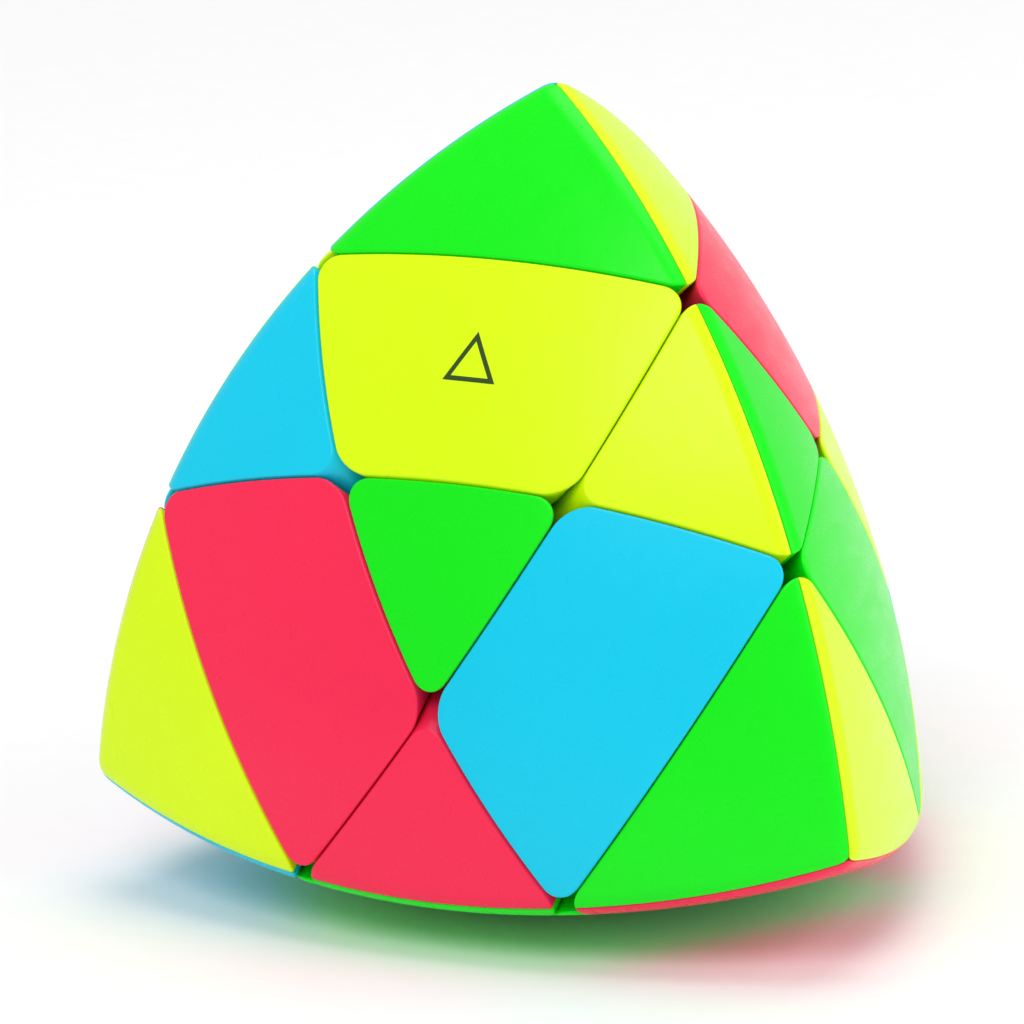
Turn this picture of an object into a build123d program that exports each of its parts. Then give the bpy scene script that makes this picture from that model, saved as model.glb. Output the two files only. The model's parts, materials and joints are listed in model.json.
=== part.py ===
from build123d import *
import os
from math import sqrt

# A twisty puzzle: a 3 x 3 x 3 turning mechanism inside a rounded tetrahedron, in millimetres.
#
# The mechanism turns about three perpendicular axes, called a, b and c below, and every piece
# is named by its place on them: (1, 1, -1) is the piece beyond the +a, +b and -c cuts. The
# model is built on those axes and set down at the end with one face below (+Z up), one face
# towards -Y, and the origin at the centre of the core.

# ---- outer shape -------------------------------------------------------------------------------
FACE_HEIGHT = 26.7        # core centre to the middle of each face
FACE_RADIUS = 98.6        # bulge of each face
RIDGE_ROUND = 2.6         # rounding of the ridges and tips

# ---- cuts between the pieces -------------------------------------------------------------------
CUT = 9.35                # core centre to each outer cut
GAP = 0.1                 # running gap between neighbouring pieces
SPLIT_GAP = 0.06          # hairline between two colour shells of one piece
CORNER_ROUND = 2.3        # rounding of a piece's corners, seen from outside
RIM_ROUND = 0.25          # rounding where a piece's walls meet its outer face

# ---- colour shells and feet --------------------------------------------------------------------
WALL = 1.7                # wall of the colour shells
SHELL_SEAT = 20.4         # core centre to where the shells stop and the feet begin
SEAT_GAP = 0.05           # glue line between a shell and its foot
PLATE = 1.8               # thickness of a foot's curved plate
COLLAR_WALL = 1.2         # collar of a foot, standing up inside its shell
COLLAR_HEIGHT = 2.4
COLLAR_GAP = 0.03         # glue line round the collar
LAYER_GAP = 0.3           # gap between the hooks, and between them and the plates above
HOOK = 4.9                # radial thickness of the hooks
FOOT_ROUND = 0.8          # rounding of the feet's corners
NECK_OVERLAP = 0.5        # how far a neck reaches into its plate and into its hook

# ---- screws, springs and core ------------------------------------------------------------------
SCREW_SHANK = 2.8         # diameter
SCREW_HEAD = 6.4          # diameter
SCREW_HEAD_THICK = 1.8
SCREW_SEAT = 22.2         # core centre to the underside of the screw's head
SCREW_TIP = 5.2           # core centre to the end of the shank
SCREW_SLOT = 1.1          # width of the cross slot
SCREW_SLOT_DEPTH = 1.0
SCREW_SLOT_LENGTH = 4.2
SHANK_GAP = 0.06          # radial running clearance of a hub on its screw
HUB_FLOOR = 12.2          # core centre to the underside of a hub
HUB_FLOOR_THICK = 1.6
SPRING_CUP = 7.6          # bore of a hub
TOWER_WALL = 1.2          # wall of a hub's round tower
TOWER_RISE = 0.6          # tower top above the screw's head
TOWER_ROOM = 0.6          # between a tower and the cuts beside it
SEAT_WASHER_FIT = 0.7     # how much smaller the washer under a spring is than its cup
SEAT_WASHER_THICK = 0.5
SEAT_WASHER_GAP = 0.05    # running gap under and inside the washer
SPRING_WIRE = 0.6         # diameter
SPRING_COIL = 5.2         # mean diameter
SPRING_TURNS = 6
SPRING_END_GAP = 0.05
CORE_BALL = 7.2           # radius of the middle of the core
CORE_ARM = 7.4            # diameter of the core's six arms
CORE_ARM_GAP = 0.25       # arm end to hub

FAR = 60.0                # reaches past every piece

INNER_CUT = SPRING_CUP / 2 + TOWER_WALL + TOWER_ROOM    # core centre to each cut between the feet
FOOT_TOP = SHELL_SEAT - PLATE
HOOK_TOP = FOOT_TOP - LAYER_GAP
HOOK_BOTTOM = HOOK_TOP - HOOK
SPRING_SEAT = HUB_FLOOR + HUB_FLOOR_THICK
SEAT_WASHER = SPRING_CUP - SEAT_WASHER_FIT

# Each face by the piece in its middle, each tip by its own piece, each ridge by its middle piece.
FACES = {"front": (1, 1, 1), "bottom": (-1, -1, 1), "left": (-1, 1, -1), "right": (1, -1, -1)}
TIPS = {"top": (1, 1, -1), "right": (1, -1, 1), "left": (-1, 1, 1), "rear": (-1, -1, -1)}
RIDGES = {
    ("front", "right"): (1, 0, 0),
    ("front", "left"): (0, 1, 0),
    ("front", "bottom"): (0, 0, 1),
    ("left", "bottom"): (-1, 0, 0),
    ("right", "bottom"): (0, -1, 0),
    ("left", "right"): (0, 0, -1),
}

# The three groups of pieces that a turn about the a axis parts.
LAYERS = {"front_right": 1, "middle": 0, "left_bottom": -1}

# The mechanism's axes a, b, c as the finished model has them.
STANDING = Plane(
    origin=(0, 0, 0),
    x_dir=(1 / sqrt(2), -1 / sqrt(6), 1 / sqrt(3)),
    z_dir=(0, -2 / sqrt(6), -1 / sqrt(3)),
).location


# ---- helpers -----------------------------------------------------------------------------------
def solid_of(shape):
    """The one solid that a shape holds."""
    solids = shape.solids() if hasattr(shape, "solids") else ShapeList(shape).solids()
    if len(solids) != 1:
        raise ValueError(f"one solid was expected here, not {len(solids)}")
    return solids[0]


def shared(first, second):
    """The material that two solids share."""
    return solid_of(ShapeList(first.intersect(second)))


def without(solid, *tools):
    """A solid with others cut out of it."""
    for tool in tools:
        solid = solid_of(solid - tool)
    return solid


def joined(solid, *others):
    """Solids that touch or overlap, as one."""
    for other in others:
        solid = solid_of(solid + other)
    return solid


def normal(face):
    """Outward direction of a face of the tetrahedron."""
    return Vector(*FACES[face]).normalized()


def ball(radius):
    """A ball about the core's centre."""
    return Sphere(radius).solid()


def between_balls(inner, outer):
    """What lies between two balls about the core's centre."""
    return without(ball(outer), ball(inner))


def face_ball(face, radius):
    """The ball that one outer face belongs to, with its seam turned away from the puzzle."""
    out = normal(face)
    middle = Plane(
        origin=out * (FACE_HEIGHT - FACE_RADIUS),
        x_dir=-out,
        z_dir=out.cross(Vector(0, 0, 1)),
    )
    return (middle.location * Sphere(radius)).solid()


def sharp_tetrahedron(inset):
    """The outer shape before its ridges are rounded, with every face moved in by inset."""
    shape = None
    for face in FACES:
        one_face = face_ball(face, FACE_RADIUS - inset)
        shape = one_face if shape is None else shared(shape, one_face)
    return shape


def cell(place, cut, inset):
    """The block of space between the cuts that a piece has, less inset on each cut side."""
    low = [{1: cut + inset, 0: inset - cut, -1: -FAR}[side] for side in place]
    high = [{1: FAR, 0: cut - inset, -1: -cut - inset}[side] for side in place]
    size = [top - bottom for bottom, top in zip(low, high)]
    middle = [(top + bottom) / 2 for bottom, top in zip(low, high)]
    return (Pos(*middle) * Box(*size)).solid()


def rounded_cell(place, cut, inset, radius):
    """The same block with its edges rounded."""
    block = cell(place, cut, inset)
    return block.fillet(radius, block.edges())


def along(place):
    """A frame on the axis of a ridge piece: its local +Z points outwards."""
    return Plane(origin=(0, 0, 0), z_dir=Vector(*place)).location


def rod(place, radius, start, end):
    """A round bar on the axis of a ridge piece."""
    bar = Pos(0, 0, (start + end) / 2) * Cylinder(radius, end - start)
    return (along(place) * bar).solid()


# ---- outer blocks and shells -------------------------------------------------------------------
def belongs_to_face(face):
    """Whether a surface is one of the four bulging faces."""
    return face.geom_type == GeomType.SPHERE and abs(face.radius - FACE_RADIUS) < SEAT_GAP


def is_cut_wall(face):
    """Whether a surface is a piece's wall, on a cut, and not part of the puzzle's outside."""
    if face.geom_type == GeomType.SPHERE:
        return abs(face.radius - CORNER_ROUND) < SEAT_GAP
    return face.geom_type in (GeomType.PLANE, GeomType.CYLINDER)


def edges_shared(groups):
    """The edges that lie in more than one of the groups of surfaces."""
    seen, twice = set(), set()
    for faces in groups:
        edges = {edge for face in faces for edge in face.edges()}
        twice |= seen & edges
        seen |= edges
    return twice


def outer_block(place, sharp):
    """A piece's block of the puzzle, solid, with its ridges and its rim rounded."""
    block = shared(sharp, rounded_cell(place, CUT, GAP / 2, CORNER_ROUND))
    ridges = edges_shared([[face] for face in block.faces() if belongs_to_face(face)])
    if ridges:
        block = block.fillet(RIDGE_ROUND, ridges)
    walls = [face for face in block.faces() if is_cut_wall(face)]
    outside = [face for face in block.faces() if not is_cut_wall(face)]
    return block.fillet(RIM_ROUND, edges_shared([walls, outside]))


def shell(place, sharp, hollow):
    """A piece's hollow colour shell, open towards the core."""
    inside = shared(hollow, cell(place, CUT, GAP / 2 + WALL))
    return without(outer_block(place, sharp), inside, ball(SHELL_SEAT + SEAT_GAP))


def half_space(direction):
    """Everything on one side of the core, less half a hairline."""
    block = Plane(origin=direction * (SPLIT_GAP / 2), z_dir=direction).location
    return (block * Pos(0, 0, FAR) * Box(4 * FAR, 4 * FAR, 2 * FAR)).solid()


def colour_shells(whole_shell, faces):
    """A shell split where its faces meet: one solid for each face."""
    parts = {}
    for face in faces:
        part = whole_shell
        for other in faces:
            if other != face:
                part = shared(part, half_space((normal(face) - normal(other)).normalized()))
        parts[face] = part
    return parts


# ---- feet --------------------------------------------------------------------------------------
def plate_and_collar(place, room):
    """The curved plate that closes a shell, with the collar that the shell is glued round.

    The collar stays in room, the space inside the shells.
    """
    plate = shared(rounded_cell(place, CUT, GAP / 2, FOOT_ROUND), between_balls(FOOT_TOP, SHELL_SEAT))
    outer = cell(place, CUT, GAP / 2 + WALL + COLLAR_GAP)
    inner = cell(place, CUT, GAP / 2 + WALL + COLLAR_GAP + COLLAR_WALL)
    ring = between_balls(SHELL_SEAT - NECK_OVERLAP, SHELL_SEAT + COLLAR_HEIGHT)
    collar = shared(room, without(shared(outer, ring), inner))
    return joined(plate, collar)


def foot(place, room):
    """The foot of a corner or edge piece: plate, collar, neck, and the hook under its neighbours."""
    hook_space = rounded_cell(place, INNER_CUT, LAYER_GAP / 2, FOOT_ROUND)
    hook = shared(hook_space, between_balls(HOOK_BOTTOM, HOOK_TOP))
    neck_space = shared(rounded_cell(place, CUT, GAP / 2, FOOT_ROUND), hook_space)
    neck = shared(neck_space, between_balls(HOOK_TOP - NECK_OVERLAP, FOOT_TOP + NECK_OVERLAP))
    return joined(plate_and_collar(place, room), neck, hook)


def hub(place, room):
    """The hub of a ridge piece: plate, collar, square stem and the cup that holds its spring."""
    stem_cell = rounded_cell(place, INNER_CUT, LAYER_GAP / 2, FOOT_ROUND)
    start_block = Pos(0, 0, HUB_FLOOR + FAR / 2) * Box(FAR, FAR, FAR)
    stem = shared(shared(stem_cell, (along(place) * start_block).solid()), ball(SHELL_SEAT - NECK_OVERLAP))
    tower_top = SCREW_SEAT + SCREW_HEAD_THICK + TOWER_RISE
    tower = rod(place, SPRING_CUP / 2 + TOWER_WALL, SPRING_SEAT, tower_top)
    cup = rod(place, SPRING_CUP / 2, SPRING_SEAT, FAR)
    bore = rod(place, SCREW_SHANK / 2 + SHANK_GAP, 0, FAR)
    return without(joined(plate_and_collar(place, room), stem, tower), cup, bore)


# ---- core, screws, springs ---------------------------------------------------------------------
def core():
    """The six-armed core, bored for its screws."""
    body = ball(CORE_BALL)
    for place in RIDGES.values():
        body = joined(body, rod(place, CORE_ARM / 2, 0, HUB_FLOOR - CORE_ARM_GAP))
    for place in RIDGES.values():
        body = without(body, rod(place, SCREW_SHANK / 2, SCREW_TIP, FAR))
    return body


def screw(place):
    """One screw, with a cross slot in its head."""
    shank = rod(place, SCREW_SHANK / 2, SCREW_TIP, SCREW_SEAT)
    head = rod(place, SCREW_HEAD / 2, SCREW_SEAT, SCREW_SEAT + SCREW_HEAD_THICK)
    slot_at = Pos(0, 0, SCREW_SEAT + SCREW_HEAD_THICK)
    slot = slot_at * Box(SCREW_SLOT, SCREW_SLOT_LENGTH, 2 * SCREW_SLOT_DEPTH)
    across = slot_at * Box(SCREW_SLOT_LENGTH, SCREW_SLOT, 2 * SCREW_SLOT_DEPTH)
    frame = along(place)
    return without(joined(shank, head), (frame * slot).solid(), (frame * across).solid())


def spring_seat(place):
    """The washer that a spring presses on, on the hub's floor."""
    start = SPRING_SEAT + SEAT_WASHER_GAP
    ring = rod(place, SEAT_WASHER / 2, start, start + SEAT_WASHER_THICK)
    return without(ring, rod(place, SCREW_SHANK / 2 + SEAT_WASHER_GAP, 0, FAR))


def spring(place):
    """One coil spring, between its washer and the screw's head."""
    start = SPRING_SEAT + SEAT_WASHER_GAP + SEAT_WASHER_THICK + SPRING_END_GAP + SPRING_WIRE / 2
    end = SCREW_SEAT - SPRING_END_GAP - SPRING_WIRE / 2
    path = Helix((end - start) / SPRING_TURNS, end - start, SPRING_COIL / 2)
    section = Plane(origin=path @ 0, z_dir=path % 0) * Circle(SPRING_WIRE / 2)
    coil = sweep(section, path=path)
    return solid_of(along(place) * Pos(0, 0, start) * coil)


# ---- the set of nodes --------------------------------------------------------------------------
def tip_faces(tip):
    """The three faces that meet at a tip."""
    place = TIPS[tip]
    opposite = tuple(-side for side in place)
    return [face for face, middle in FACES.items() if middle != opposite]


def edge_places():
    """Each single-colour edge piece, by the face it is on and the tip it is beside."""
    places = {}
    for face, middle in FACES.items():
        for axis in range(3):
            place = tuple(0 if i == axis else side for i, side in enumerate(middle))
            beside = tuple(-side if i == axis else side for i, side in enumerate(middle))
            tip = next(name for name, corner in TIPS.items() if corner == beside)
            places[f"edge_{face}_{tip}"] = place
    return places


def shell_nodes():
    """Every colour shell."""
    sharp, hollow = sharp_tetrahedron(0), sharp_tetrahedron(WALL)
    nodes = {}
    for face, place in FACES.items():
        nodes[f"face_{face}_cap"] = [shell(place, sharp, hollow)]
    for name, place in edge_places().items():
        nodes[f"{name}_cap"] = [shell(place, sharp, hollow)]
    for faces, place in RIDGES.items():
        for face, part in colour_shells(shell(place, sharp, hollow), faces).items():
            nodes[f"ridge_{'_'.join(faces)}_shell_{face}"] = [part]
    for tip, place in TIPS.items():
        for face, part in colour_shells(shell(place, sharp, hollow), tip_faces(tip)).items():
            nodes[f"tip_{tip}_shell_{face}"] = [part]
    return nodes


def inner_nodes():
    """The feet, hubs, core, screws, springs and spring seats."""
    room = sharp_tetrahedron(WALL + COLLAR_GAP)
    nodes = {"core": [core()], "screws": [screw(place) for place in RIDGES.values()]}
    for faces, place in RIDGES.items():
        nodes[f"hub_{'_'.join(faces)}"] = [hub(place, room)]
    corners = [*FACES.values(), *TIPS.values()]
    edges = list(edge_places().values())
    for layer, side in LAYERS.items():
        ridges = [place for place in RIDGES.values() if place[0] == side]
        many = "s" if len(ridges) > 1 else ""
        nodes[f"spring{many}_{layer}"] = [spring(place) for place in ridges]
        nodes[f"spring_seat{many}_{layer}"] = [spring_seat(place) for place in ridges]
        nodes[f"edge_feet_{layer}"] = [foot(place, room) for place in edges if place[0] == side]
        if side != 0:
            nodes[f"corner_feet_{layer}"] = [foot(place, room) for place in corners if place[0] == side]
    return nodes


def main():
    os.makedirs("parts", exist_ok=True)
    for name, solids in {**shell_nodes(), **inner_nodes()}.items():
        placed = [STANDING * solid for solid in solids]
        export_step(placed[0] if len(placed) == 1 else Compound(children=placed), f"parts/{name}.step")


main()
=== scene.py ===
import json
from math import cos, pi, radians, sin, sqrt

import bpy
import numpy as np
from mathutils import Matrix, Vector


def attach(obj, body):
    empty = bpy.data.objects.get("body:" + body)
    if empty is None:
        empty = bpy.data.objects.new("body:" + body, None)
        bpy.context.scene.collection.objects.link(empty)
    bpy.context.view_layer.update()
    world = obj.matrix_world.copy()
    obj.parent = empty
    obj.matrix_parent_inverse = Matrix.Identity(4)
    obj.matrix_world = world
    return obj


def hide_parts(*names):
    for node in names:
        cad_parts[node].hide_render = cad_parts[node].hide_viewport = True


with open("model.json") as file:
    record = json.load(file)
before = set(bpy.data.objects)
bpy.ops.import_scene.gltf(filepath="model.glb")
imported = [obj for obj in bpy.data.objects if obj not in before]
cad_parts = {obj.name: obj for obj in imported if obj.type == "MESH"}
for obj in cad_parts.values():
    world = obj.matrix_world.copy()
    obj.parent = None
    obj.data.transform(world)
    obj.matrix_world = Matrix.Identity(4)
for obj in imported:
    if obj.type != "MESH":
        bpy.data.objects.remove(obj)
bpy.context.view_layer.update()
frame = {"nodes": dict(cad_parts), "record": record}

RECORD = frame["record"]
MM = 0.001

# ---- the puzzle's sizes, in millimetres, on its three turning axes ------------------------------
FACE_HEIGHT = -RECORD["mounts"][0]["pos_m"][2] / MM     # core centre to the middle of a face
FACE_RADIUS = 98.6
RIDGE_ROUND = 2.6
CUT = 9.35
GAP = 0.1
SPLIT_GAP = 0.06
SPLIT_ROUND = 0.1       # softening of the edges along a hairline between two colours
CORNER_ROUND = 2.3
RIM_ROUND = 0.25
WALL = 1.7
INNER_ROUND = 0.2       # rounding of the corners inside a shell
SHELL_SEAT = 20.45      # core centre to the lip of each shell
FAR = 60.0              # outside every piece

# ---- the small printed triangle on the upper front piece, in millimetres ------------------------
MARKED = "edge_front_top_cap"
MARK_RISE = 17.7        # from the front face's middle
MARK_SIZE = 1.3         # middle of the triangle to the middle of its line
MARK_LINE = 0.45

# ---- mesh density -------------------------------------------------------------------------------
SURVEY = 720            # directions looked along before a piece's columns are placed
COLUMNS = 264           # columns round a whole piece
FACE_RINGS = 26         # rings from the middle of a piece to its rim
RING_CROWDING = 1.25    # above 1, the rings lie closer together towards a piece's middle
RIM_RINGS = 7
WALL_RINGS = 4
INNER_RINGS = 5
TURN_WEIGHT = 5.0       # millimetres of outline that one radian of turning counts for
SPLIT_COLUMNS = (0.25, 0.6, 1.1, 1.9)   # degrees from a hairline
SPLIT_MARGIN = 1.3      # the evenly spread columns stay this many times the last of those away
CAST_STEPS = 7          # steps of the search along a ray for the outer surface
LEAN_STEPS = 22         # halvings of the search for a cell's wall
WIDEST_LEAN = radians(85)
ON_CORE = 1e-6          # a point this far out still counts as on the sharp inner tetrahedron
OFF_CORE_PENALTY = 1e6  # added to the distance of a point further out, so that it isn't chosen
LEAST_TURN = 1e-6       # below this angle an arc is as good as straight
LEAST_LEVEL = 0.05      # keeps a softened edge's direction from lying flat
TINY = 1e-9

# The turning axes as the standing puzzle has them, one in each column.
STANDING = np.array([
    [1 / sqrt(2), -1 / sqrt(2), 0],
    [-1 / sqrt(6), -1 / sqrt(6), -2 / sqrt(6)],
    [1 / sqrt(3), 1 / sqrt(3), -1 / sqrt(3)],
])

FACES = {"front": (1, 1, 1), "bottom": (-1, -1, 1), "left": (-1, 1, -1), "right": (1, -1, -1)}
TIPS = {"top": (1, 1, -1), "right": (1, -1, 1), "left": (-1, 1, 1), "rear": (-1, -1, -1)}
NORMALS = {face: np.array(place) / sqrt(3) for face, place in FACES.items()}
CENTRES = np.array([out * (FACE_HEIGHT - FACE_RADIUS) for out in NORMALS.values()])


# ---- the outer surface, as a distance -----------------------------------------------------------
def unit(rows):
    """Each row at length 1."""
    return rows / np.linalg.norm(rows, axis=-1, keepdims=True)


def nearest_on_core(points):
    """Nearest points of the sharp inner tetrahedron that the rounded outside is rolled round."""
    radius = FACE_RADIUS - RIDGE_ROUND
    found = [centre + radius * unit(points - centre) for centre in CENTRES]
    for i in range(4):
        for j in range(i + 1, 4):
            axis = unit(CENTRES[i] - CENTRES[j])
            middle = (CENTRES[i] + CENTRES[j]) / 2
            reach = sqrt(radius ** 2 - np.sum((CENTRES[i] - middle) ** 2))
            flat = points - middle
            flat = flat - (flat @ axis)[:, None] * axis
            found.append(middle + reach * unit(flat))
    for i, out in enumerate(NORMALS.values()):
        other = CENTRES[(i + 1) % 4]
        along = -out @ other
        reach = along + sqrt(radius ** 2 - other @ other + along ** 2)
        found.append(np.broadcast_to(-out * reach, points.shape))
    found = np.array(found)
    over = np.max([np.linalg.norm(found - centre, axis=-1) for centre in CENTRES], axis=0) - radius
    away = np.linalg.norm(found - points, axis=-1) + np.where(over > ON_CORE, OFF_CORE_PENALTY, 0)
    return found[np.argmin(away, axis=0), np.arange(len(points))]


def outside(points):
    """Distance from the outer surface, and the direction straight out of it."""
    step = points - nearest_on_core(points)
    far = np.linalg.norm(step, axis=-1)
    return far - RIDGE_ROUND, step / far[:, None]


def cast(directions, inset=0.0):
    """Where rays from the core's centre meet the outer surface moved in by inset."""
    reach = np.full(len(directions), FAR)
    for _ in range(CAST_STEPS):
        distance, out = outside(directions * reach[:, None])
        reach = reach - (distance + inset) / np.sum(out * directions, axis=-1)
    return directions * reach[:, None]


def walls(points, place, inset, rounding):
    """Distance from the walls of a piece's cell, and the direction out of the nearest wall."""
    sides, signs = [], []
    for x, side in zip(points.T, place):
        sides.append(np.abs(x) - (CUT - inset) if side == 0 else CUT + inset - side * x)
        signs.append(np.sign(x) if side == 0 else np.full(len(x), -float(side)))
    q = np.array(sides).T + rounding
    over = np.maximum(q, 0)
    size = np.linalg.norm(over, axis=-1)
    nearest = np.eye(3)[np.argmax(q, axis=-1)]
    out = np.where(size[:, None] > TINY, over / np.maximum(size, TINY)[:, None], nearest)
    return size + np.minimum(q.max(axis=-1), 0) - rounding, out * np.array(signs).T


# ---- one piece as a grid of rings and columns ---------------------------------------------------
class Piece:
    """A corner, edge or ridge piece: rings round the line from the core through its middle."""

    def __init__(self, place):
        self.place = place
        self.axis = unit(np.array(place, float))
        level = unit(np.cross(self.axis, (0.3, 0.5, 0.8)))
        self.side = (level, np.cross(self.axis, level))

    def directions(self, lean, azimuth):
        round_it = np.cos(azimuth)[:, None] * self.side[0] + np.sin(azimuth)[:, None] * self.side[1]
        return np.cos(lean)[:, None] * self.axis + np.sin(lean)[:, None] * round_it

    def azimuth(self, points):
        return np.arctan2(points @ self.side[1], points @ self.side[0])

    def edge_lean(self, azimuth, place_points, inset, rounding):
        """How far to lean each way until the point there passes the cell's wall."""
        low, high = np.zeros(len(azimuth)), np.full(len(azimuth), WIDEST_LEAN)
        for _ in range(LEAN_STEPS):
            middle = (low + high) / 2
            points = place_points(self.directions(middle, azimuth))
            inside = walls(points, self.place, inset, rounding)[0] < 0
            low, high = np.where(inside, middle, low), np.where(inside, high, middle)
        return low

    def rim_centres(self, azimuth):
        """The line that the rim's rounding is rolled along."""
        lean = self.edge_lean(azimuth, lambda d: cast(d, RIM_ROUND), GAP / 2 + RIM_ROUND,
                              CORNER_ROUND - RIM_ROUND)
        return cast(self.directions(lean, azimuth), RIM_ROUND)

    def column_azimuths(self, start, end, count):
        """Columns between two directions, closest together where the outline turns."""
        azimuth = np.linspace(start, end, int(SURVEY * (end - start) / (2 * pi)) + 1)
        rim = self.rim_centres(azimuth)
        out = outside(rim)[1]
        wall = walls(rim, self.place, GAP / 2, CORNER_ROUND)[1]
        cost = sum(np.linalg.norm(np.diff(rows, axis=0), axis=-1) * weight
                   for rows, weight in ((rim, 1.0), (out, TURN_WEIGHT), (wall, TURN_WEIGHT)))
        travelled = np.concatenate([[0], np.cumsum(cost)])
        return np.interp(np.linspace(0, travelled[-1], count), travelled, azimuth)


def arc(first, second, share):
    """Directions turning evenly from first to second."""
    angle = np.arccos(np.clip(np.sum(first * second, axis=-1, keepdims=True), -1, 1))
    angle = np.maximum(angle, LEAST_TURN)
    return (np.sin((1 - share) * angle) * first + np.sin(share * angle) * second) / np.sin(angle)


def shell_rings(piece, azimuth):
    """Rings of points and outward directions, with how many of them are on the outside.

    They run from the outer middle over the rim, down the wall and round the lip to the inner middle.
    """
    rim = piece.rim_centres(azimuth)
    out = outside(rim)[1]
    wall = walls(rim, piece.place, GAP / 2 + RIM_ROUND, CORNER_ROUND - RIM_ROUND)[1]
    rings = []
    edge = unit(rim + RIM_ROUND * out)
    middle = np.broadcast_to(piece.axis, edge.shape)
    for share in (np.arange(1, FACE_RINGS) / FACE_RINGS) ** RING_CROWDING:
        points = cast(arc(middle, edge, share))
        rings.append((points, outside(points)[1]))
    for share in np.linspace(0, 1, RIM_RINGS):
        turn = arc(out, wall, share)
        rings.append((rim + RIM_ROUND * turn, turn))
    foot = rim + RIM_ROUND * wall
    column = piece.azimuth(foot)
    top = np.linalg.norm(foot, axis=-1)
    for share in np.linspace(0, 1, WALL_RINGS)[1:]:
        reach = (top + (SHELL_SEAT - top) * share)[:, None]
        lean = piece.edge_lean(column, lambda d: d * reach, GAP / 2, CORNER_ROUND)
        points = piece.directions(lean, column) * reach
        rings.append((points, walls(points, piece.place, GAP / 2, CORNER_ROUND)[1]))
    smooth = len(rings)

    def inner(place_points):
        lean = piece.edge_lean(column, place_points, GAP / 2 + WALL, INNER_ROUND)
        return place_points(piece.directions(lean, column))

    rings.append((inner(lambda d: d * SHELL_SEAT), wall))
    corner = inner(lambda d: cast(d, WALL))
    rings.append((corner, wall))
    for share in np.linspace(1, 0, INNER_RINGS + 1)[1:-1]:
        rings.append((cast(arc(middle, unit(corner), share), WALL), -out))
    return rings, smooth


def part_at_hairlines(points, out, planes, rounded):
    """Pushes points off the planes where two colours meet, and softens the edge there."""
    for plane in planes:
        natural = points @ plane
        kept = np.sqrt(np.maximum(natural, 0) ** 2 + (SPLIT_GAP / 2) ** 2)
        points = points + (kept - natural)[:, None] * plane
        if rounded:
            near = np.clip(1 - (kept - SPLIT_GAP / 2) / SPLIT_ROUND, 0, 1)[:, None]
            level = np.sqrt(1 - near ** 2)
            points = points - SPLIT_ROUND * (1 - level) * out
            out = unit(np.maximum(level, LEAST_LEVEL) * out - near * plane)
    return points, out


def shell_mesh(name, place, face, faces):
    """The colour shell that a piece shows on one face, as a closed mesh."""
    piece = Piece(place)
    whole = len(faces) == 1
    centre = float(piece.azimuth(NORMALS[face][None, :])[0]) if not whole else 0.0
    half = pi / len(faces)
    count = COLUMNS // len(faces)
    azimuth = piece.column_azimuths(centre - half, centre + half, count + 1)
    if whole:
        azimuth = azimuth[:-1]
    else:
        near = np.radians(SPLIT_COLUMNS)
        clear = near[-1] * SPLIT_MARGIN
        start, end = azimuth[0], azimuth[-1]
        between = azimuth[(azimuth > start + clear) & (azimuth < end - clear)]
        azimuth = np.concatenate([[start], start + near, between, end - near[::-1], [end]])
    planes = [unit(NORMALS[face] - NORMALS[other]) for other in faces if other != face]
    rings, smooth = shell_rings(piece, azimuth)

    top = cast(piece.axis[None, :])
    bottom = cast(piece.axis[None, :], WALL)
    points, outs = [], []
    for i, (ring, out) in enumerate([(top, outside(top)[1]), *rings, (bottom, -outside(bottom)[1])]):
        ring, out = part_at_hairlines(ring, out, planes, i <= smooth)
        points.append(ring)
        outs.append(out)
    polygons, rounded = shell_polygons(len(azimuth), len(rings), smooth, whole)
    return mesh_object(name, np.vstack(points), np.vstack(outs), polygons, rounded)


def shell_polygons(columns, count, smooth, whole):
    """Corner numbers of a shell's polygons, and which of them are smoothly rounded."""
    last = 1 + count * columns

    def index(ring, column):
        return 1 + ring * columns + column % columns

    polygons, rounded = [], []
    for column in range(columns if whole else columns - 1):
        polygons.append((0, index(0, column), index(0, column + 1)))
        rounded.append(True)
        for ring in range(count - 1):
            polygons.append((index(ring, column), index(ring + 1, column),
                             index(ring + 1, column + 1), index(ring, column + 1)))
            rounded.append(ring < smooth - 1)
        polygons.append((index(count - 1, column), last, index(count - 1, column + 1)))
        rounded.append(False)
    if not whole:
        first = [index(ring, 0) for ring in range(count)]
        final = [index(ring, columns - 1) for ring in range(count)]
        polygons.append((0, *final, last))
        polygons.append((last, *first[::-1], 0))
        rounded += [False, False]
    return polygons, rounded


def mesh_object(name, points, outs, polygons, rounded):
    """A Blender object from points in millimetres on the turning axes."""
    mesh = bpy.data.meshes.new(name)
    mesh.from_pydata((points @ STANDING.T * MM).tolist(), [], polygons)
    mesh.update()
    outs = outs @ STANDING.T
    mesh.polygons.foreach_set("use_smooth", [True] * len(polygons))
    normals = np.zeros((len(mesh.loops), 3))
    vertices = np.zeros(len(mesh.loops), int)
    mesh.loops.foreach_get("vertex_index", vertices)
    flat = np.zeros(len(polygons) * 3)
    mesh.polygons.foreach_get("normal", flat)
    sizes = np.array([len(p) for p in polygons])
    owner = np.repeat(np.arange(len(polygons)), sizes)
    soft = np.array(rounded)[owner]
    normals[soft] = outs[vertices[soft]]
    normals[~soft] = flat.reshape(-1, 3)[owner[~soft]]
    mesh.normals_split_custom_set(normals.tolist())
    thing = bpy.data.objects.new(name, mesh)
    bpy.context.scene.collection.objects.link(thing)
    return thing


# ---- materials ----------------------------------------------------------------------------------
def new_material(name):
    """A node material, with what is needed to build on its shader."""
    material = bpy.data.materials.new(name)
    material.use_nodes = True
    nodes, links = material.node_tree.nodes, material.node_tree.links
    return material, nodes, links, nodes["Principled BSDF"]


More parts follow.
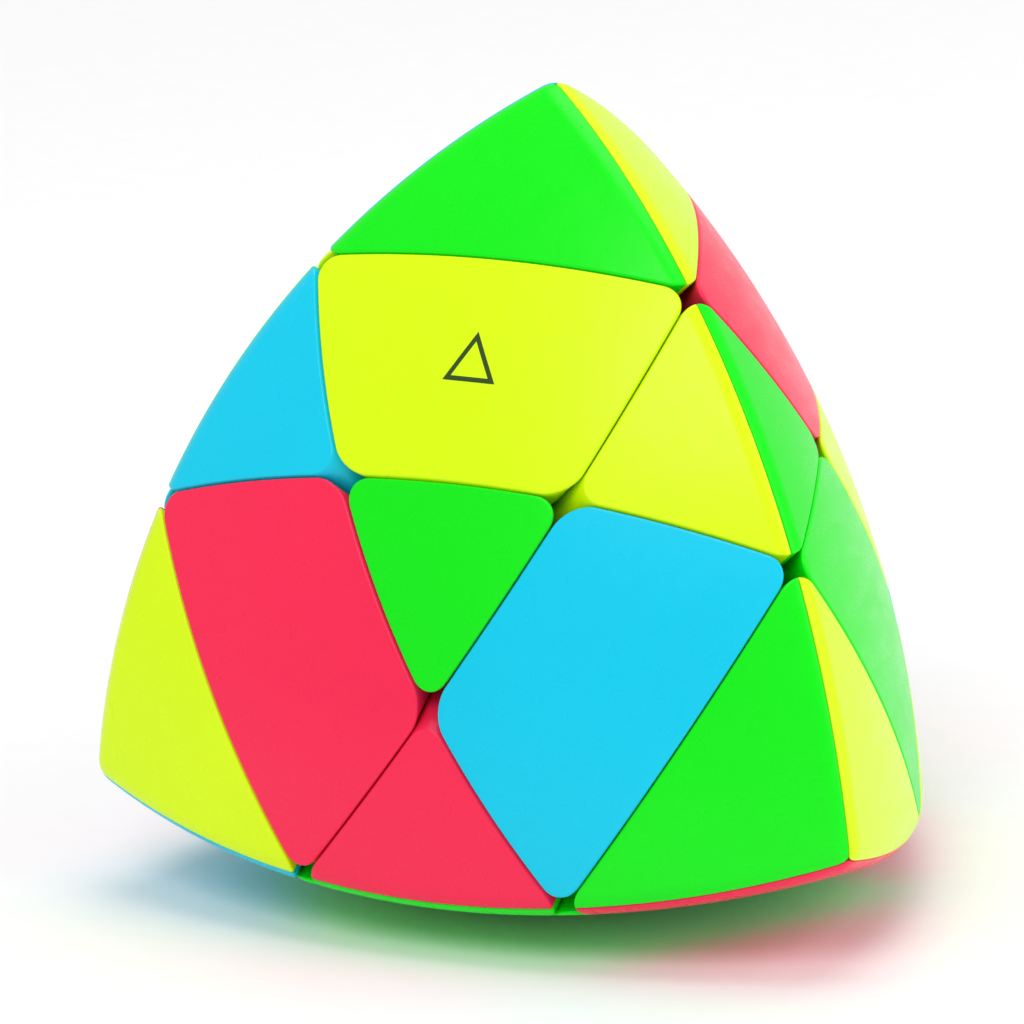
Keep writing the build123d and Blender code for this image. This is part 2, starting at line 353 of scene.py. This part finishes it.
def noise(nodes, links, where, scale, detail, stretch=None):
    """Noise over the object's own coordinates; scale is in features per metre."""
    texture = nodes.new("ShaderNodeTexNoise")
    texture.inputs["Scale"].default_value = scale
    texture.inputs["Detail"].default_value = detail
    if stretch:
        mapping = nodes.new("ShaderNodeMapping")
        mapping.inputs["Scale"].default_value = stretch
        mapping.inputs["Rotation"].default_value = (0.4, 0.9, 0.3)
        links.new(where, mapping.inputs["Vector"])
        where = mapping.outputs["Vector"]
    links.new(where, texture.inputs["Vector"])
    return texture.outputs["Fac"]


def spread(nodes, links, value, low, high):
    """A noise value mapped onto a range."""
    ramp = nodes.new("ShaderNodeMapRange")
    ramp.inputs["From Min"].default_value = 0.3
    ramp.inputs["From Max"].default_value = 0.7
    ramp.inputs["To Min"].default_value = low
    ramp.inputs["To Max"].default_value = high
    links.new(value, ramp.inputs["Value"])
    return ramp.outputs["Result"]


def mixed(nodes, links, share, first, second):
    """A colour between two, by share."""
    mix = nodes.new("ShaderNodeMix")
    mix.data_type = "RGBA"
    for socket, colour in ((mix.inputs[6], first), (mix.inputs[7], second)):
        if isinstance(colour, tuple):
            socket.default_value = (*colour, 1)
        else:
            links.new(colour, socket)
    links.new(share, mix.inputs[0])
    return mix.outputs[2]


def bumped(nodes, links, heights, bsdf):
    """Several bumps on top of each other: (height, depth in metres)."""
    below = None
    for height, depth in heights:
        bump = nodes.new("ShaderNodeBump")
        bump.inputs["Strength"].default_value = 1.0
        bump.inputs["Distance"].default_value = depth
        links.new(height, bump.inputs["Height"])
        if below:
            links.new(below, bump.inputs["Normal"])
        below = bump.outputs["Normal"]
    links.new(below, bsdf.inputs["Normal"])


def math_node(nodes, links, operation, *values):
    """One sum on sockets or plain numbers."""
    node = nodes.new("ShaderNodeMath")
    node.operation = operation
    for socket, value in zip(node.inputs, values):
        if isinstance(value, float):
            socket.default_value = value
        else:
            links.new(value, socket)
    return node.outputs["Value"]


def printed_mark(nodes, links, where):
    """1 on the line of the small printed triangle, and 0 elsewhere."""
    out = NORMALS["front"] @ STANDING.T
    up = np.array((0.0, out[2], -out[1]))
    middle = up * MARK_RISE * MM
    widest = None
    for angle in (radians(30), radians(150), radians(270)):
        way = cos(angle) * np.array((1.0, 0.0, 0.0)) + sin(angle) * up
        dot = nodes.new("ShaderNodeVectorMath")
        dot.operation = "DOT_PRODUCT"
        links.new(where, dot.inputs[0])
        dot.inputs[1].default_value = way
        far = math_node(nodes, links, "SUBTRACT", dot.outputs["Value"], float(way @ middle))
        widest = far if widest is None else math_node(nodes, links, "MAXIMUM", widest, far)
    past_line = math_node(nodes, links, "SUBTRACT", widest, MARK_SIZE * MM)
    from_line = math_node(nodes, links, "ABSOLUTE", past_line)
    return math_node(nodes, links, "LESS_THAN", from_line, MARK_LINE / 2 * MM)


def moulded_plastic(name, colour, deep, roughness=0.28, marked=False):
    """Smooth injection moulded plastic: faint flow marks, a fine skin, orange peel and scuffs."""
    material, nodes, links, bsdf = new_material(name)
    where = nodes.new("ShaderNodeTexCoord").outputs["Object"]
    flow = noise(nodes, links, where, 45, 3, (1.0, 0.35, 1.0))
    skin = noise(nodes, links, where, 1300, 0)
    peel = noise(nodes, links, where, 260, 0)
    scuffs = noise(nodes, links, where, 500, 3, (1.0, 0.08, 1.0))
    base = mixed(nodes, links, spread(nodes, links, flow, 0.0, 1.0), colour, deep)
    if marked:
        base = mixed(nodes, links, printed_mark(nodes, links, where), base, INK)
    links.new(base, bsdf.inputs["Base Color"])
    links.new(spread(nodes, links, scuffs, roughness - 0.03, roughness + 0.05), bsdf.inputs["Roughness"])
    bumped(nodes, links, [(peel, 0.000003), (skin, 0.0000005)], bsdf)
    bsdf.inputs["IOR"].default_value = 1.46
    bsdf.inputs["Specular IOR Level"].default_value = 0.3
    return material


def steel(name):
    """Turned and drawn steel with a fine grain."""
    material, nodes, links, bsdf = new_material(name)
    where = nodes.new("ShaderNodeTexCoord").outputs["Object"]
    grain = noise(nodes, links, where, 1800, 5, (1.0, 0.1, 1.0))
    links.new(mixed(nodes, links, grain, (0.5, 0.5, 0.52), (0.7, 0.7, 0.71)), bsdf.inputs["Base Color"])
    links.new(spread(nodes, links, grain, 0.22, 0.4), bsdf.inputs["Roughness"])
    bumped(nodes, links, [(grain, 0.000002)], bsdf)
    bsdf.inputs["Metallic"].default_value = 1.0
    return material


INK = (0.03, 0.07, 0.01)
YELLOW = ((0.70, 0.97, 0.0), (0.67, 0.94, 0.0))
PLASTICS = {
    "green_plastic": moulded_plastic("green_plastic", (0.0, 0.84, 0.004), (0.0, 0.80, 0.004)),
    "yellow_plastic": moulded_plastic("yellow_plastic", *YELLOW),
    "blue_plastic": moulded_plastic("blue_plastic", (0.0, 0.60, 0.83), (0.0, 0.57, 0.80)),
    "pink_plastic": moulded_plastic("pink_plastic", (0.95, 0.02, 0.085), (0.91, 0.018, 0.08)),
    "foot_plastic": moulded_plastic("foot_plastic", (0.50, 0.02, 0.04), (0.45, 0.018, 0.035), 0.45),
    "core_plastic": moulded_plastic("core_plastic", (0.05, 0.05, 0.055), (0.04, 0.04, 0.045), 0.5),
    "steel": steel("steel"),
}
PRINTED = moulded_plastic("yellow_plastic_printed", *YELLOW, marked=True)
SLOTS = {entry["node"]: entry["material_slot"] for entry in RECORD["subparts"]}
BODY_OF = {node: body for body, nodes in RECORD["behaviour"]["bodies"].items() for node in nodes}


# ---- the pieces ---------------------------------------------------------------------------------
def place_of(node):
    """The place of a shell's piece on the turning axes, and the faces that it shows, from its name."""
    words = node.split("_")
    if words[0] == "face":
        return FACES[words[1]], [words[1]]
    if words[0] == "edge":
        middle, tip = FACES[words[1]], TIPS[words[2]]
        return tuple(a if a == b else 0 for a, b in zip(middle, tip)), [words[1]]
    if words[0] == "ridge":
        sums = np.array(FACES[words[1]]) + np.array(FACES[words[2]])
        return tuple(int(s / 2) for s in sums), words[1:3]
    place = TIPS[words[1]]
    opposite = tuple(-side for side in place)
    return place, [face for face, middle in FACES.items() if middle != opposite]


for node, thing in frame["nodes"].items():
    slot = SLOTS[node]
    if node.startswith(("face_", "edge_", "ridge_", "tip_")) and "feet" not in node:
        place, faces = place_of(node)
        face = node.split("_")[-1] if "shell" in node else faces[0]
        piece = shell_mesh(f"{node}_moulding", place, face, faces)
        piece.data.materials.append(PRINTED if node == MARKED else PLASTICS[slot])
        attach(piece, BODY_OF[node])
        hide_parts(node)
    else:
        for entry in thing.material_slots:
            entry.material = PLASTICS[slot]


# ---- floor, light and camera, in metres ---------------------------------------------------------
FLOOR_REACH = 6.0
WORLD_STRENGTH = 0.6
AZIMUTH, ELEVATION, ROLL = radians(28.8), radians(16.1), radians(-2.5)
DISTANCE = 1.046
AIM = Vector((-0.0057, -0.0011, 0.0063))
FOCAL_LENGTH = 405.0    # millimetres, as the sensor is
SENSOR = 36.0


def area_light(name, place, size, power):
    """A rectangular softbox turned towards the puzzle."""
    light = bpy.data.lights.new(name, "AREA")
    light.shape = "RECTANGLE"
    light.size, light.size_y = size
    light.energy = power
    thing = bpy.data.objects.new(name, light)
    thing.location = place
    thing.rotation_euler = (-Vector(place)).to_track_quat("-Z", "Y").to_euler()
    bpy.context.scene.collection.objects.link(thing)


def make_floor():
    """A plain pale floor under the face that the puzzle stands on."""
    mesh = bpy.data.meshes.new("floor")
    corners = [(-1, -1), (1, -1), (1, 1), (-1, 1)]
    points = [(x * FLOOR_REACH, y * FLOOR_REACH, -FACE_HEIGHT * MM) for x, y in corners]
    mesh.from_pydata(points, [], [(0, 1, 2, 3)])
    floor = bpy.data.objects.new("floor", mesh)
    bpy.context.scene.collection.objects.link(floor)
    material, nodes, links, bsdf = new_material("floor_paper")
    where = nodes.new("ShaderNodeTexCoord").outputs["Object"]
    grain = noise(nodes, links, where, 300, 4)
    links.new(mixed(nodes, links, grain, (0.90, 0.90, 0.90), (0.93, 0.93, 0.93)), bsdf.inputs["Base Color"])
    bsdf.inputs["Roughness"].default_value = 0.75
    bsdf.inputs["Specular IOR Level"].default_value = 0.2
    floor.data.materials.append(material)


def make_light():
    """An even pale studio with three softboxes."""
    world = bpy.data.worlds.new("studio")
    world.use_nodes = True
    background = world.node_tree.nodes["Background"]
    background.inputs["Color"].default_value = (1, 1, 1, 1)
    background.inputs["Strength"].default_value = WORLD_STRENGTH
    bpy.context.scene.world = world
    area_light("front_softbox", (0.05, -0.7, 0.75), (0.5, 0.5), 3.0)
    area_light("right_softbox", (0.75, 0.05, 0.35), (0.5, 0.8), 1.8)
    area_light("top_softbox", (0.0, 0.2, 0.9), (0.7, 0.7), 3.4)


def make_camera():
    """The photograph's viewing angle."""
    data = bpy.data.cameras.new("camera")
    data.lens = FOCAL_LENGTH
    data.sensor_width = SENSOR
    camera = bpy.data.objects.new("camera", data)
    level = Matrix.Rotation(AZIMUTH, 4, "Z") @ Matrix.Rotation(pi / 2 - ELEVATION, 4, "X")
    turn = level @ Matrix.Rotation(ROLL, 4, "Z")
    camera.matrix_world = Matrix.Translation(AIM + turn @ Vector((0, 0, DISTANCE))) @ turn
    bpy.context.scene.collection.objects.link(camera)
    bpy.context.scene.camera = camera


make_floor()
make_light()
make_camera()
bpy.context.scene.view_settings.view_transform = "Standard"
